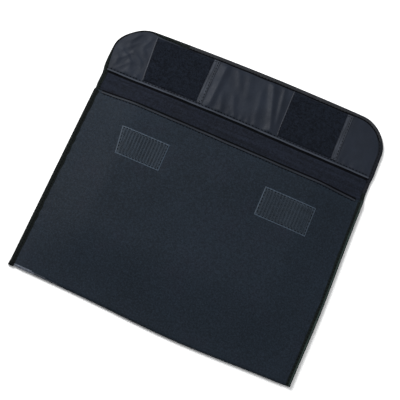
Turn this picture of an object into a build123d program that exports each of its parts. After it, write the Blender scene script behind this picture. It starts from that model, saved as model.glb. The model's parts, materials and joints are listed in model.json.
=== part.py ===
from build123d import *
import os

# Flat fire-resistant pouch for a model battery, lying on its back with the flap open.
# X runs across the pouch, Y from the bottom fold towards the flap's tip, and Z up out of the front.
# Each wall is three layers: a coated outer fabric, a glass-fibre insulation felt and a lining.
# The walls are one strip folded at the bottom, pinched at both sides under a folded binding tape.
# The origin is the centre of the footprint on the surface that the pouch lies on. Millimetres.

# Driving dimensions
body_half = 149.0            # half of the pouch's width, over the side bindings
flap_half = 150.2            # half of the flap's width, over its binding
pouch_depth = 202.0          # from the bottom fold to the mouth
flap_reach = 86.5            # from the mouth to the flap's tip
pouch_height = 12.0          # thickness of the empty pouch where it is fullest
outer_t = 0.5                # coated outer fabric
insulation_t = 1.0           # glass-fibre felt
lining_t = 0.3               # lining
facing_t = 0.3               # glossy facing on the flap's inside
binding_t = 0.4              # binding tape
binding_w = 4.6              # how far the binding reaches in from an edge
binding_tail = 1.5           # tucked end of a side binding, below the bottom fold
fold_gap = 1.2               # air left inside the bottom fold
side_slope = 28.0            # run of the front's slope at each side
fold_slope = 34.0            # run of the front's slope at the bottom fold
seam_step = 1.5              # run over which the back rises into the side seam
flap_corner = 33.0           # corner radius of the flap's tip
mouth_to_hinge = 3.0         # from the mouth to the first crease
hinge_gap = 0.15             # from a crease to the fabric on each side of it
hinge_relief = 1.0           # from a crease to the bindings on each side of it
side_binding_past_mouth = 1.5
mouth_binding_w = 4.0
mouth_binding_inset = 4.0    # the mouth binding stops this far inside the side seam
left_hook_size = (52.0, 30.2)
right_hook_size = (55.0, 32.0)
hook_t = 1.4
hook_x = 79.0                # centre of each hook patch, from the middle
hook_below_mouth = 28.2
loop_size = (67.0, 50.0)
loop_t = 1.6
loop_x = 75.0                # centre of each loop patch, from the middle
loop_above_mouth = 30.6
hem_above_mouth = 25.6       # lower edge of the facing's rolled hem
hem_w = 3.0
hem_t = 1.2
thread_w = 0.5
thread_t = 0.2
patch_stitch_inset = 1.4
binding_stitch_inset = 3.6   # from a binding's outer edge to its stitching
facing_stitch_above_hem = 0.8
closing_clearance = 0.4      # left between the loops and the hooks when the flap is closed
through = 5.0                # cutters run this far past what they cut

# Worked out from them
wall = outer_t + insulation_t + lining_t
mouth_y = (pouch_depth + binding_tail - flap_reach) / 2
fold_y = mouth_y - pouch_depth
tip_y = mouth_y + flap_reach
fabric_half = body_half - binding_t
seam_x = body_half - binding_w
fold_radius = wall + fold_gap / 2
fold_centre_y = fold_y + fold_radius
crease_z = binding_t + wall
hook_top = pouch_height + hook_t + thread_t
loop_top = crease_z + facing_t + loop_t + thread_t
crease_a_y = mouth_y + mouth_to_hinge
band_length = (hook_top - crease_z) + (loop_top - crease_z) + closing_clearance
crease_b_y = crease_a_y + band_length
flap_binding_top = crease_z + facing_t + binding_t
layer_insets = (0.0, outer_t, outer_t + insulation_t, wall)


def face_of(edges):
    return Face(Wire(edges))


def prism_along_y(points_xz, y_from, y_to):
    """Solid between two Y planes whose section is a polygon of (x, z) points."""
    outline = Polyline([(x, y_from, z) for x, z in points_xz], close=True)
    return extrude(face_of(outline.edges()), amount=y_to - y_from, dir=(0, 1, 0))


def block(x_span, y_span, z_span):
    size = [b - a for a, b in (x_span, y_span, z_span)]
    centre = [(a + b) / 2 for a, b in (x_span, y_span, z_span)]
    return Pos(*centre) * Box(*size)


def side_section(inset, y_open, half):
    """The pouch seen from the side, shrunk by inset: round at the bottom fold, open at the mouth."""
    radius = fold_radius - inset
    low, high = inset, pouch_height - inset
    at_fold = 2 * fold_radius - inset
    floor_line = Line((-half, fold_centre_y, low), (-half, y_open, low))
    top_line = Polyline(
        (-half, y_open, low),
        (-half, y_open, high),
        (-half, fold_centre_y + fold_slope, high),
        (-half, fold_centre_y, at_fold),
    )
    fold = ThreePointArc(
        (-half, fold_centre_y, at_fold),
        (-half, fold_centre_y - radius, fold_radius),
        (-half, fold_centre_y, low),
    )
    edges = [*floor_line.edges(), *top_line.edges(), *fold.edges()]
    return extrude(face_of(edges), amount=2 * half, dir=(1, 0, 0))


def end_section(inset, half, y_open):
    """The pouch seen from the mouth, shrunk by inset: pinched at both side seams, full between them."""
    low = binding_t + inset
    high = binding_t + 2 * wall - inset
    back = [(seam_x - seam_step, inset), (seam_x, low)]
    seam = [(half, low), (half, high), (seam_x, high)]
    front = [(seam_x - side_slope, pouch_height - inset)]
    walls_meet = inset == wall  # the pocket itself ends where front and back come together
    right = back + front if walls_meet else back + seam + front
    left = [(-x, z) for x, z in reversed(right)]
    return prism_along_y(right + left, fold_y - through, y_open)


def pouch_envelope(inset, half, y_open):
    return side_section(inset, y_open, half) & end_section(inset, half, y_open)


def pouch_layer(depth_from, depth_to):
    """One layer of the folded wall: front, bottom fold and back. The back runs on to the first crease."""
    back_end = crease_a_y - hinge_gap
    outside = pouch_envelope(depth_from, fabric_half, back_end)
    inside = pouch_envelope(depth_to, fabric_half + through, back_end + through)
    past_mouth = block(
        (-body_half, body_half), (mouth_y, back_end + through), (crease_z, pouch_height + through)
    )
    return outside - inside - past_mouth


def side_binding(side):
    """Tape folded over the pinched edges of front and back, its lower end tucked shut."""
    x_span = sorted((side * seam_x, side * body_half))
    slot_span = sorted((side * (seam_x - through), side * fabric_half))
    end_y = mouth_y + side_binding_past_mouth
    stack = (binding_t, binding_t + 2 * wall)
    tape = block(x_span, (fold_y - binding_tail, end_y), (0, stack[1] + binding_t))
    return tape - block(slot_span, (fold_y, end_y + through), stack)


def side_stitching(side):
    middle = side * (body_half - binding_stitch_inset)
    top = 2 * (binding_t + wall)
    x_span = (middle - thread_w / 2, middle + thread_w / 2)
    return block(x_span, (fold_y, mouth_y), (top, top + thread_t))


def front_wall_section(half, below, above):
    """Section of the front wall across the mouth, thickened downwards and upwards."""
    seam_top = binding_t + 2 * wall
    rise = (pouch_height - seam_top) / side_slope
    right = [(half, seam_top + (seam_x - half) * rise), (seam_x - side_slope, pouch_height)]
    surface = right + [(-x, z) for x, z in reversed(right)]
    top = [(x, z + above) for x, z in surface]
    underside = [(x, z - wall - below) for x, z in reversed(surface)]
    return top + underside


def mouth_binding():
    """Tape folded over the raw edge of the front wall."""
    half = seam_x - mouth_binding_inset
    tape = prism_along_y(
        front_wall_section(half, binding_t, binding_t), mouth_y - mouth_binding_w, mouth_y + binding_t
    )
    wall_in_it = prism_along_y(
        front_wall_section(half, 0, 0), mouth_y - mouth_binding_w - through, mouth_y
    )
    return tape - wall_in_it


def mouth_stitching():
    half = seam_x - mouth_binding_inset - 1
    middle = mouth_y - mouth_binding_w + 1
    whole = prism_along_y(
        front_wall_section(half, 0, binding_t + thread_t), middle - thread_w / 2, middle + thread_w / 2
    )
    tape = prism_along_y(
        front_wall_section(half + through, through, binding_t), middle - 1, middle + 1
    )
    return whole - tape


def patch(centre_x, y_from, size, z_from, thickness):
    width, height = size
    x_span = (centre_x - width / 2, centre_x + width / 2)
    return block(x_span, (y_from, y_from + height), (z_from, z_from + thickness))


def patch_stitching(centre_x, y_from, size, z_from):
    """Closed line of thread just inside a patch's edge."""
    outer = [s - 2 * patch_stitch_inset for s in size]
    inner = [s - 2 * thread_w for s in outer]
    ring = patch(centre_x, y_from + patch_stitch_inset, outer, z_from, thread_t)
    hole = patch(centre_x, y_from + patch_stitch_inset + thread_w, inner, z_from - through, 2 * through)
    return ring - hole


def flap_outline(shrink, y_from):
    """The flap's plan: straight sides and a tip with round corners."""
    half = flap_half - shrink
    tip = tip_y - shrink
    radius = flap_corner - shrink
    lean = radius * (1 - 2**-0.5)
    edges = [
        *Line((-half, y_from, 0), (-half, tip - radius, 0)).edges(),
        *ThreePointArc(
            (-half, tip - radius, 0), (-half + lean, tip - lean, 0), (-half + radius, tip, 0)
        ).edges(),
        *Line((-half + radius, tip, 0), (half - radius, tip, 0)).edges(),
        *ThreePointArc(
            (half - radius, tip, 0), (half - lean, tip - lean, 0), (half, tip - radius, 0)
        ).edges(),
        *Line((half, tip - radius, 0), (half, y_from, 0)).edges(),
        *Line((half, y_from, 0), (-half, y_from, 0)).edges(),
    ]
    return face_of(edges)


def flap_slab(shrink, y_from, z_from, z_to):
    slab = extrude(flap_outline(shrink, y_from), amount=z_to - z_from, dir=(0, 0, 1))
    return Pos(0, 0, z_from) * slab


def flap_binding():
    start = crease_b_y + hinge_relief
    tape = flap_slab(0, start, 0, flap_binding_top)
    inside = flap_slab(binding_w, start - through, -through, flap_binding_top + through)
    slot = flap_slab(binding_t, start - through, binding_t, crease_z + facing_t)
    return tape - inside - slot


def flap_binding_stitching():
    start = crease_b_y + hinge_relief
    band = (flap_binding_top, flap_binding_top + thread_t)
    whole = flap_slab(binding_stitch_inset - thread_w, start, *band)
    return whole - flap_slab(binding_stitch_inset, start - through, band[0] - 1, band[1] + 1)


def facing_hem():
    """Rolled lower edge of the facing: a low half-round ridge across the flap."""
    half = flap_half - binding_w
    y_from = mouth_y + hem_above_mouth
    y_to = y_from + hem_w
    ridge = ThreePointArc(
        (-half, y_from, crease_z), (-half, y_from + hem_w / 2, crease_z + hem_t), (-half, y_to, crease_z)
    )
    flat = Line((-half, y_to, crease_z), (-half, y_from, crease_z))
    return extrude(face_of([*ridge.edges(), *flat.edges()]), amount=2 * half, dir=(1, 0, 0))


def facing_stitching():
    half = flap_half - binding_w
    y_from = mouth_y + hem_above_mouth + hem_w + facing_stitch_above_hem
    z_from = crease_z + facing_t
    return block((-half, half), (y_from, y_from + thread_w), (z_from, z_from + thread_t))


def band_layer(depth_from, depth_to):
    y_span = (crease_a_y + hinge_gap, crease_b_y - hinge_gap)
    return block((-fabric_half, fabric_half), y_span, (binding_t + depth_from, binding_t + depth_to))


def band_binding(side):
    x_span = sorted((side * seam_x, side * body_half))
    slot_span = sorted((side * (seam_x - through), side * fabric_half))
    y_span = (crease_a_y + hinge_relief, crease_b_y - hinge_relief)
    tape = block(x_span, y_span, (0, crease_z + binding_t))
    return tape - block(slot_span, (y_span[0] - 1, y_span[1] + 1), (binding_t, crease_z))


def band_stitching(side):
    middle = side * (body_half - binding_stitch_inset)
    top = crease_z + binding_t
    x_span = (middle - thread_w / 2, middle + thread_w / 2)
    y_span = (crease_a_y + hinge_relief, crease_b_y - hinge_relief)
    return block(x_span, y_span, (top, top + thread_t))


parts = {}

# Pouch
layers = list(zip(("outer_fabric", "insulation", "lining"), layer_insets, layer_insets[1:]))
for layer, depth_from, depth_to in layers:
    parts["pouch_" + layer] = pouch_layer(depth_from, depth_to)
for side, hand, hook_size in ((-1, "left", left_hook_size), (1, "right", right_hook_size)):
    hook_y = mouth_y - hook_below_mouth - hook_size[1]
    parts[hand + "_side_binding"] = side_binding(side)
    parts[hand + "_side_stitching"] = side_stitching(side)
    parts[hand + "_hook_patch"] = patch(side * hook_x, hook_y, hook_size, pouch_height, hook_t)
    parts[hand + "_hook_stitching"] = patch_stitching(
        side * hook_x, hook_y, hook_size, pouch_height + hook_t
    )
parts["mouth_binding"] = mouth_binding()
parts["mouth_stitching"] = mouth_stitching()

# Fold band, the soft strip between the two creases
for layer, depth_from, depth_to in layers:
    parts["band_" + layer] = band_layer(depth_from, depth_to)
for side, hand in ((-1, "left"), (1, "right")):
    parts[hand + "_band_binding"] = band_binding(side)
parts["band_stitching"] = Compound([band_stitching(-1), band_stitching(1)])

# Flap
for layer, depth_from, depth_to in layers:
    parts["flap_" + layer] = flap_slab(
        binding_t, crease_b_y + hinge_gap, binding_t + depth_from, binding_t + depth_to
    )
facing_y = mouth_y + hem_above_mouth + hem_w
parts["flap_facing"] = flap_slab(binding_t, facing_y, crease_z, crease_z + facing_t)
parts["facing_hem"] = facing_hem()
parts["facing_stitching"] = facing_stitching()
parts["flap_binding"] = flap_binding()
parts["flap_binding_stitching"] = flap_binding_stitching()
for side, hand in ((-1, "left"), (1, "right")):
    loop_y = mouth_y + loop_above_mouth
    loop_z = crease_z + facing_t
    parts[hand + "_loop_patch"] = patch(side * loop_x, loop_y, loop_size, loop_z, loop_t)
    parts[hand + "_loop_stitching"] = patch_stitching(side * loop_x, loop_y, loop_size, loop_z + loop_t)

os.makedirs("parts", exist_ok=True)
for name, shape in parts.items():
    export_step(shape, f"parts/{name}.step")

print("mouth", mouth_y, "fold", fold_y, "tip", tip_y)
print("creases at y", crease_a_y, crease_b_y, "height", crease_z, "band", band_length)
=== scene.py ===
import json
import math

import bpy
import numpy as np
from bpy.props import FloatProperty, FloatVectorProperty, IntProperty, PointerProperty
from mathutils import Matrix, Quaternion, Vector


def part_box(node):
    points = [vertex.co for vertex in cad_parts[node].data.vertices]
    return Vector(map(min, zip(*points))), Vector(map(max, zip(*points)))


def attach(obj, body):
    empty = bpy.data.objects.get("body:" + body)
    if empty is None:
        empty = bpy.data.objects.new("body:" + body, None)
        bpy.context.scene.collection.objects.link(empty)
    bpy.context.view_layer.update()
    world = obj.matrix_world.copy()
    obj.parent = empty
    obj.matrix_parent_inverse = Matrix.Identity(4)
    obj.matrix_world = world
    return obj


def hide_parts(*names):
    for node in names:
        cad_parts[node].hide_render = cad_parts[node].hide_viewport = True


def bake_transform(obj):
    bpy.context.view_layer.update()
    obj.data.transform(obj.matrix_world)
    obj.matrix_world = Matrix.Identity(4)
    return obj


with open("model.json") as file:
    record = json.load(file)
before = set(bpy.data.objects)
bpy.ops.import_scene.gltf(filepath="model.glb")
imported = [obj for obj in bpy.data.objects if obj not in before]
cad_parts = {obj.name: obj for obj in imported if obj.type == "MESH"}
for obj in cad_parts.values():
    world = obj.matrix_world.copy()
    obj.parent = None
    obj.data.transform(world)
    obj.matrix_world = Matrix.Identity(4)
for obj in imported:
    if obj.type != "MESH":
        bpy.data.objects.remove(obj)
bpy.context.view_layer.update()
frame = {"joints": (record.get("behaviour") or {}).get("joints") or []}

bl_info = {
    "name": "Battery Safe Bag",
    "version": (1, 0, 0),
    "blender": (4, 5, 0),
    "location": "3D View > Sidebar > Safe Bag",
    "description": "Sews a flat fire-resistant battery pouch with an open flap around its packed frame",
    "category": "Object",
}

MM = 0.001
SIDES = ((-1, "left"), (1, "right"))

# ---------------- measures taken from the frame

shell_low, shell_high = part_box("pouch_outer_fabric")
felt_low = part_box("pouch_insulation")[0]
lining_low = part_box("pouch_lining")[0]
seam_low, seam_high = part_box("right_side_binding")
mouth_low, mouth_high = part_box("mouth_binding")
flap_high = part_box("flap_binding")[1]
flap_cloth_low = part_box("flap_outer_fabric")[0]
facing_low, facing_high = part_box("flap_facing")
hem_low, hem_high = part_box("facing_hem")
hook_boxes = {hand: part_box(hand + "_hook_patch") for _, hand in SIDES}
loop_boxes = {hand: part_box(hand + "_loop_patch") for _, hand in SIDES}
creases = {joint["name"]: Vector(joint["pos_m"]) for joint in frame["joints"]}

OUTER_T = felt_low.z - shell_low.z
FELT_T = lining_low.z - felt_low.z
FACING_T = facing_high.z - facing_low.z
WALL = facing_low.z - flap_cloth_low.z
TAPE_T = flap_cloth_low.z
ON_FACING = WALL + FACING_T           # height of the facing's outside over the flap's underside

HALF = seam_high.x                    # half of the pouch's width, over its bindings
SEAM_X = seam_low.x                   # where the side seams start
TAPE_W = seam_high.x - seam_low.x
CLOTH_HALF = shell_high.x
FOLD_Y = shell_low.y
TAIL_Y = seam_low.y
SEAM_END_Y = seam_high.y
MOUTH_Y = mouth_high.y - TAPE_T
POUCH_Z = shell_high.z
TIP_Y = flap_high.y
FLAP_HALF = flap_high.x
CREASE_A = creases["band_fold"]
CREASE_B = creases["flap_fold"]
MID_BAND_Y = (CREASE_A.y + CREASE_B.y) / 2
DEPTH = MOUTH_Y - FOLD_Y
HEM_UP = hem_low.y - MOUTH_Y          # from the mouth up to the facing's hem
REACH = TIP_Y - MOUTH_Y
FOLD_TOP = 2 * WALL + 1.2 * MM        # height of the bottom fold
CORNER = 33 * MM                      # corner radius of the flap's tip
MOUTH_STITCH = 3.3 * MM               # from the mouth down to its stitches
TAPE_STITCH = 0.78                    # how far across a tape its stitches run


# ---------------- settings


def size_property(label, text, millimetres):
    return FloatProperty(name=label, description=text, default=millimetres * MM, unit="LENGTH")


def colour_property(label, text, *colour):
    return FloatVectorProperty(
        name=label, description=text, default=colour, subtype="COLOR", size=3, min=0, max=1)


def place_property(label, text, *place):
    return FloatVectorProperty(
        name=label, description=text, default=place, subtype="TRANSLATION", size=3)


class BagSizes(bpy.types.PropertyGroup):
    """Sizes of the sewn details."""

    stitch_pitch: size_property("Stitch pitch", "From one stitch to the next", 3.5)
    stitch_length: size_property("Stitch length", "Length of thread that shows in one stitch", 2.0)
    thread_radius: size_property("Thread radius", "Radius of the sewing thread", 0.38)
    seam_dip: size_property("Seam dip", "How far a stitch line pulls the cloth down", 0.5)
    wave_height: size_property("Wave height", "Height of the front panel's slow waves", 0.45)
    crease_height: size_property("Crease height", "Height of the facing's largest creases", 2.0)
    hook_pitch: size_property("Hook pitch", "From one row of hooks to the next", 1.65)
    loop_pitch: size_property("Loop pitch", "Mean distance between pile loops", 1.25)
    mesh_step: size_property("Mesh step", "Largest distance between points on the cloth", 2.4)


class BagColours(bpy.types.PropertyGroup):
    """Colours of the cloths."""

    outer: colour_property("Outer fabric", "Coated cloth of the outside", 0.0071, 0.0110, 0.0166)
    lining: colour_property(
        "Lining", "Cloth of the inside and the fold band", 0.0054, 0.0070, 0.0117)
    facing: colour_property("Facing", "Glossy cloth on the flap's inside", 0.0098, 0.0126, 0.0190)
    # lighter than the other cloths: the rolled hem, the mouth's fold and the bottom fold's left end take
    # it as painted highlight
    hem: colour_property("Hem", "Worn fold along the facing's lower edge", 0.0280, 0.0320, 0.0410)
    faded: colour_property(
        "Faded tape", "Binding along the flap's tip, rubbed pale", 0.0110, 0.0118, 0.0134)
    tape: colour_property("Binding tape", "Woven tape over the raw edges", 0.0024, 0.0038, 0.0034)
    hooks: colour_property("Hook tape", "Nylon hook tape", 0.0142, 0.0205, 0.0290)
    loops: colour_property("Loop tape", "Brushed loop tape", 0.0038, 0.0052, 0.0084)
    thread: colour_property("Thread", "Sewing thread", 0.0022, 0.0026, 0.0036)
    felt: colour_property("Insulation felt", "Glass-fibre felt between the cloths", 0.30, 0.30, 0.28)


class StageSettings(bpy.types.PropertyGroup):
    """Camera and lights."""

    camera_place: place_property("Camera place", "Where the camera stands", 0.04445, -0.29098, 0.96603)
    camera_target: place_property(
        "Camera target", "Point on the floor that the camera looks at", -0.00355, -0.00673, 0.0)
    camera_roll: FloatProperty(
        name="Camera roll", description="Turn of the camera about its line of sight",
        default=math.radians(14.187), subtype="ANGLE")
    lens: FloatProperty(
        name="Lens", description="Focal length", default=90, unit="CAMERA")
    sky: FloatProperty(
        name="Sky strength", description="Brightness of the surroundings", default=0.36, min=0)
    key: FloatProperty(
        name="Key power", description="Power of the window-like light", default=26.0, unit="POWER")
    fill: FloatProperty(
        name="Fill power", description="Power of the weak light opposite", default=11.5, unit="POWER")


class BagSettings(bpy.types.PropertyGroup):
    """Everything that the panel offers."""

    sizes: PointerProperty(type=BagSizes)
    colours: PointerProperty(type=BagColours)
    stage: PointerProperty(type=StageSettings)
    seed: IntProperty(name="Seed", description="Start of the random draws", default=7)


def settings():
    return bpy.context.scene.safe_bag


# ---------------- how the cloth lies


def ease(t):
    """Rises smoothly from 0 to 1 as t does."""
    t = np.clip(t, 0, 1)
    return t * t * (3 - 2 * t)


def ramp(distance, start, length):
    """Rises smoothly from 0 to 1, from start millimetres on, over length millimetres."""
    return ease((distance - start * MM) / (length * MM))


def ridge(distance, width):
    """1 at no distance, and next to nothing beyond twice the width."""
    return np.exp(-((distance / width) ** 2))


def crease(x, y, start, end, width):
    """A ridge along a line on the cloth that fades out past both ends."""
    ax, ay = start
    bx, by = end
    length = math.hypot(bx - ax, by - ay)
    tx, ty = (bx - ax) / length, (by - ay) / length
    along = (x - ax) * tx + (y - ay) * ty
    across = (y - ay) * tx - (x - ax) * ty
    past = np.maximum(0, np.maximum(-along, along - length))
    return ridge(across, width) * ridge(past, 2.5 * width)


def plan(x, y):
    """Where a point of the flat pattern comes to lie: the sewn bag is not quite straight or even."""
    up = y - MOUTH_Y
    # the flap leans: its tip sits lower at the left end, and it is shifted a little to the left
    lean = np.clip((up - 5 * MM) / (REACH - 5 * MM), 0, 1.1)
    tip_shift = 1.6 * MM + 0.0206 * x - 0.155 * x * x
    slide = -0.7 * MM * ramp(up, 0, 9) - 0.75 * MM * ramp(up, 18, 26)
    # the right side of the pouch bulges, its left side leans, and its bottom fold bows
    down = np.clip(-up / DEPTH, 0, 1.02)
    right_share = 0.5 + x / (2 * HALF)
    bulge = 1.4 * MM * right_share * np.sin(np.pi * np.clip(down, 0, 1) ** 1.35) ** 2
    slant = (1 - right_share) * (1.3 * down - 0.6) * MM * (up < 0)
    spread = 0.0028 * x * (1 - down * down)
    bow = -0.3 * MM - 4.2 * MM * np.exp(-(((x - 27 * MM) / (84 * MM)) ** 2))
    # the facing's lower edge sags, most at its left end
    sag = 1.1 * MM + 1.0 * MM * ramp(-x, 60, 70) - 0.5 * MM * ridge(x + 5 * MM, 45 * MM)
    sag = sag * ridge(up - HEM_UP, 20 * MM)
    # the corners of the flap are cut off a little
    corner = ridge(np.abs(x) - FLAP_HALF + 10 * MM, 15 * MM) * ridge(up - REACH + 10 * MM, 15 * MM)
    new_x = x + spread + slide + bulge + slant + np.where(x < 0, 0.7, -0.4) * MM * corner
    new_y = y + lean * tip_shift + bow * ease((down - 0.55) / 0.45) - sag
    new_y = new_y - np.where(x < 0, 1.5, 0.6) * MM * corner
    return new_x, new_y


def near_patch(x, y, low, high):
    """Distance outside a patch's rectangle, and the distance round it."""
    dx = np.maximum(np.maximum(low.x - x, x - high.x), 0)
    dy = np.maximum(np.maximum(low.y - y, y - high.y), 0)
    return np.hypot(dx, dy), x + 1.3 * y


def front_height(x, y):
    """Height of the front panel's outside."""
    base = FOLD_TOP - (FOLD_TOP - 2 * WALL - TAPE_T) * ramp(np.abs(x) - SEAM_X, -9, 9)
    side = ramp(SEAM_X - np.abs(x), 0, 52)
    fold = ramp(y - FOLD_Y - FOLD_TOP / 2, 0, 70)
    z = base + (POUCH_Z - base) * side * fold
    # slow waves, which only ever dip below the full height
    wave = (
        np.sin(x * 61 + y * 23 + 0.6) * 0.34
        + np.sin(x * 27 - y * 72 + 2.1) * 0.30
        + np.sin(x * 118 + y * 95 + 4.0) * 0.12
        + np.sin(-x * 150 + y * 64 + 1.2) * 0.10
    )
    z = z + settings().sizes.wave_height * (wave - 0.86) * side * fold
    # the side seams gather the cloth a little
    seam = ridge(SEAM_X - np.abs(x), 9 * MM)
    z = z + 0.22 * MM * seam * np.sin(y * 430 + np.sin(y * 71) * 2) * fold
    # sewing on the hook patches puckers the cloth around them
    for low, high in hook_boxes.values():
        gap, round_it = near_patch(x, y, low, high)
        pucker = np.sin(round_it * 780) * 0.6 + np.sin(round_it * 1290 + 1) * 0.4
        z = z + 0.32 * MM * pucker * ridge(gap - 2 * MM, 5 * MM) * (gap > 0)
        z = z - 0.30 * MM * ridge(gap, 3 * MM)
    return z


def rear_height(x, y):
    """Height of the underside of the back, the fold band and the flap."""
    up = y - MOUTH_Y
    seam = ramp(np.abs(x) - SEAM_X, -2, 2)
    on_tape = np.maximum(seam, ramp(up, 0.5, 2.5))
    on_flap = ramp(up, 20, 22)
    # the flap touches the table in places and lifts slightly in others
    lift = 0.55 + 0.30 * np.sin(x * 47 + 1.0) + 0.15 * np.sin(x * 96 + y * 40)
    corner = ramp(np.abs(x), 112, 35) * (1.0 + 0.5 * np.sign(-x))
    return TAPE_T * on_tape + 0.35 * MM * lift * on_flap + 0.8 * MM * corner * on_flap


def on_front(x, y, h):
    """Points on the front panel; h counts from its outside."""
    new_x, new_y = plan(x, y)
    return np.stack(np.broadcast_arrays(new_x, new_y, front_height(x, y) + h), -1)


def on_rear(x, y, h):
    """Points on the back, the band or the flap; h counts from the underside of the outer fabric."""
    new_x, new_y = plan(x, y)
    return np.stack(np.broadcast_arrays(new_x, new_y, rear_height(x, y) + h), -1)


def outside_loops(x, y):
    """1 well clear of the loop patches, 0 under them."""
    clear = 1.0
    for low, high in loop_boxes.values():
        gap, _ = near_patch(x, y, low, high)
        clear = clear * ramp(gap, 0, 3.5)
    return clear


def facing_relief(x, y):
    """Creases of the glossy facing: it is looser than what it is sewn to."""
    up = y - MOUTH_Y
    height = settings().sizes.crease_height
    z = 0.0
    # each crease's upper and lower ends, from the middle of the mouth, its width, and its share
    # of the full height
    large = (
        ((-33, 79), (-34, 39), 3.4, 0.85),
        ((19, 80), (33, 36), 3.6, 0.9),
        ((32, 80), (37.5, 44), 2.6, 0.5),
        ((12, 62), (16, 34), 3.4, 0.3),
        ((-24, 42), (-21, 32), 3.2, 0.35),
        ((-12, 46), (-7, 32), 3.0, 0.35),
        ((-20, 80), (-14, 66), 3.6, 0.35),
        ((-6, 78), (-2, 58), 4.2, 0.25),
    )
    for start, end, width, share in large:
        ends = [(across * MM, MOUTH_Y + upwards * MM) for across, upwards in (start, end)]
        z = z + height * share * crease(x, y, *ends, width * MM)
    # the left corner is crumpled
    corner = ramp(-x, 112, 6)
    crumple = (
        np.abs(np.sin(x * 210 + y * 120 + 1.4 * np.sin(y * 170)))
        + 0.8 * np.abs(np.sin(x * 95 - y * 260 + 1.1 * np.sin(x * 190)))
    )
    z = z + 0.50 * height * corner * (1 - np.clip(crumple, 0, 1.5) / 1.5)
    # soft unevenness everywhere, and gathers where the hem is sewn
    z = z + 0.10 * height * (1 + np.sin(x * 160 + 2 * np.sin(y * 90)) * np.sin(y * 140 + x * 35))
    gather = ridge(up - 31.5 * MM, 4 * MM) * (0.5 + 0.5 * np.sin(x * 690 + 2 * np.sin(x * 117)))
    z = z + 0.22 * height * gather
    # nothing rises at the binding or at the hem itself
    inside_x = ramp(FLAP_HALF - TAPE_W - np.abs(x), 0, 7)
    inside_y = ramp(REACH - TAPE_W - up, 0, 5) * ramp(up, 28.6, 2)
    return z * inside_x * inside_y * outside_loops(x, y)


def raised(surface, height):
    """The same surface, a height further up."""
    return lambda x, y, h: surface(x, y, h + height)


# ---------------- mesh building


def grid_faces(rows, cols, start=0, flip=False, wrap=False):
    """Quads over a grid of points; wrap joins the last column to the first."""
    r, c = np.meshgrid(np.arange(rows - 1), np.arange(cols if wrap else cols - 1), indexing="ij")
    nxt = (c + 1) % cols
    quad = np.stack([r * cols + c, r * cols + nxt, (r + 1) * cols + nxt, (r + 1) * cols + c], -1)
    quad = quad.reshape(-1, 4) + start
    return quad[:, ::-1] if flip else quad


def new_object(name, points, faces, places, sharp=40):
    """A mesh object. places gives each point's spot on its cloth, in metres, for the weave."""
    mesh = bpy.data.meshes.new(name)
    mesh.from_pydata(np.asarray(points, float).tolist(), [], [list(map(int, f)) for f in faces])
    layer = mesh.uv_layers.new(name="cloth")
    corner = np.zeros(len(mesh.loops), np.int32)
    mesh.loops.foreach_get("vertex_index", corner)
    layer.uv.foreach_set("vector", np.asarray(places, np.float32)[corner].ravel())
    mesh.shade_smooth()
    mesh.set_sharp_from_angle(angle=math.radians(sharp))
    mesh.update()
    piece = bpy.data.objects.new(name, mesh)
    bpy.context.scene.collection.objects.link(piece)
    return piece


def travelled(line):
    """Distance along a line of points, from its start to each of them."""
    return np.concatenate([[0], np.cumsum(np.linalg.norm(np.diff(line, axis=0), axis=1))])


def sheet_between(name, top, under, places):
    """A closed thin sheet between two grids of points."""
    rows, cols = top.shape[:2]
    count = rows * cols
    faces = [grid_faces(rows, cols), grid_faces(rows, cols, count, flip=True)]
    index = np.arange(count).reshape(rows, cols)
    edge = np.concatenate([index[0], index[1:, -1], index[-1, -2::-1], index[-2:0:-1, 0]])
    after = np.roll(edge, -1)
    faces.append(np.stack([edge, edge + count, after + count, after], -1))
    points = np.concatenate([top.reshape(-1, 3), under.reshape(-1, 3)])
    both = np.concatenate([places.reshape(-1, 2)] * 2)
    return new_object(name, points, np.concatenate(faces), both)


def steps(start, end, step, fine=()):
    """Positions from start to end, about step apart, and closer around each (place, reach, step)."""
    found = [start]
    while found[-1] < end - 1e-9:
        at = found[-1]
        size = step
        for place, reach, small in fine:
            if abs(at - place) < reach or at < place - reach < at + step:
                size = min(size, small if abs(at - place) < reach else max(small, place - reach - at))
        found.append(min(at + size, end))
    if len(found) > 2 and found[-1] - found[-2] < 0.3 * (found[-2] - found[-3]):
        found.pop(-2)
    return np.array(found)


SECTION_POINTS = 33                   # points of a folded tape's section
SECTION_FOLD = 9                      # its first point on the fold
SECTION_TOP = 14                      # its first point on the top
SECTION_RIM = 22                      # its last point on the top


def tape_profile(width, top_width, gap, puff):
    """Section of a folded tape: (inwards, height) round the outside of the fold and back inside.
    Heights count from the underside of what the tape wraps; gap is that stack's thickness."""
    start = 0.35 * MM                 # how far in the flat parts start
    below = np.linspace(width, start, 9)
    inwards = np.linspace(top_width, start, 9)
    stitch = TAPE_STITCH * top_width
    swell = puff * np.sin(np.pi * np.clip(inwards / stitch, 0, 1))
    dip = 0.35 * puff * ridge(inwards - stitch, 0.5 * MM)
    under = [(a, -TAPE_T) for a in below]
    turns = [math.radians(t) for t in (-60, -30, 0, 30, 60)]
    middle, radius = gap / 2, gap / 2 + TAPE_T
    edge = [(start * (1 - math.cos(t)), middle + radius * math.sin(t)) for t in turns]
    top = [(a, gap + TAPE_T + s - d) for a, s, d in zip(inwards, swell, dip)][::-1]
    inner_top = [(a, gap + s * 0.6) for a, s in zip(inwards[:-1:2], swell[:-1:2])]
    inner_edge = [(TAPE_T, gap * 0.75), (TAPE_T, gap * 0.25)]
    inner_under = [(a, 0.0) for a in below[:-1:2]][::-1]
    return np.array(under + edge + top + inner_top + inner_edge + inner_under)


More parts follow.
